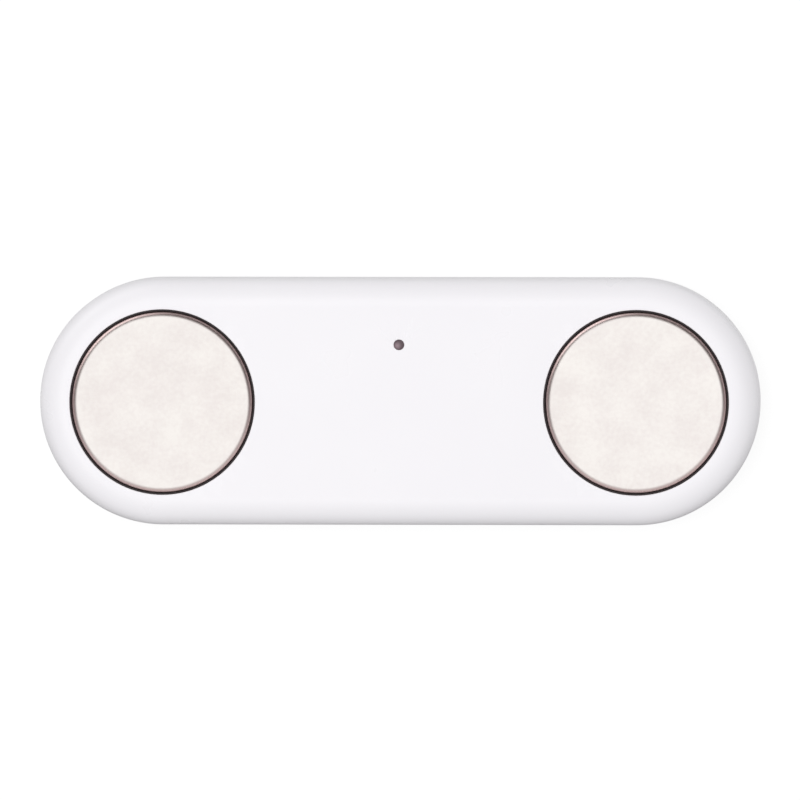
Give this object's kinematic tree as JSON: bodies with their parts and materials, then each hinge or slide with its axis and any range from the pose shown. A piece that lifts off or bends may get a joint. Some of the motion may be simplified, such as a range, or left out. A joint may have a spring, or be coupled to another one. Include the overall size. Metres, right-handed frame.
{
  "type": "handheld ecg monitor",
  "caption": "Slim white handheld heart-rhythm monitor: a round-ended plastic case with round steel finger electrodes, a status light, a side button and a turn-lock battery door.",
  "frame": {"origin": "centre of the flat back, on the plane that the monitor rests on", "axes": "+X along the case towards the right electrode, +Y towards the status light's side, +Z out of the face; the back is down and the side button is on the -Y edge"},
  "size_m": [0.105, 0.036, 0.0113],
  "materials": {
    "shell_plastic": "moulded white ABS with a soft gloss",
    "electrode_steel": "stainless sheet, fine bead-blasted satin",
    "seal_rubber": "matt black silicone rubber",
    "adhesive_foam": "white double-sided adhesive foam",
    "fastener_steel": "nickel-plated steel",
    "contact_bronze": "bare phosphor bronze strip",
    "smoked_clear_plastic": "polished smoke-tinted polycarbonate",
    "lamp_body": "white lamp body with a pale lens",
    "board_laminate": "green solder mask over glass laminate",
    "dark_plastic": "moulded black epoxy and nylon",
    "plated_cover": "tin-plated steel cover",
    "ceramic": "fired ceramic",
    "cell_can": "nickel-plated steel can"
  },
  "bodies": {
    "case": {"front_shell": "shell_plastic", "rear_shell": "shell_plastic", "left_electrode": "electrode_steel", "right_electrode": "electrode_steel", "case_seal": "seal_rubber", "left_electrode_seal": "seal_rubber", "right_electrode_seal": "seal_rubber", "left_electrode_pad": "adhesive_foam", "right_electrode_pad": "adhesive_foam", "case_screws": "fastener_steel", "board_screws": "fastener_steel", "left_stud_washer": "fastener_steel", "right_stud_washer": "fastener_steel", "left_contact_spring": "contact_bronze", "right_contact_spring": "contact_bronze", "positive_contact": "contact_bronze", "negative_contact": "contact_bronze", "light_guide": "smoked_clear_plastic", "status_led": "lamp_body", "main_board": "board_laminate", "amplifier_chip": "dark_plastic", "board_resistors": "dark_plastic", "battery_holder": "dark_plastic", "radio_module": "plated_cover", "timing_crystal": "plated_cover", "power_switch": "plated_cover", "chip_antenna": "ceramic", "board_capacitors": "ceramic", "coin_cell": "cell_can"},
    "door": {"battery_door": "shell_plastic", "door_seal": "seal_rubber"},
    "button": {"power_button": "shell_plastic", "switch_plunger": "dark_plastic"}
  },
  "joints": [
    {"name": "door_turn", "type": "hinge", "parent": "case", "child": "door", "pos_m": [0, 0, 0], "axis": [0, 0, -1], "range_deg": [0, 40]},
    {"name": "button_press", "type": "slide", "parent": "case", "child": "button", "axis": [0, 1, 0], "range_m": [0, 0.0003], "stiffness_N_per_m": 4000, "springref_m": -0.0001}
  ]
}
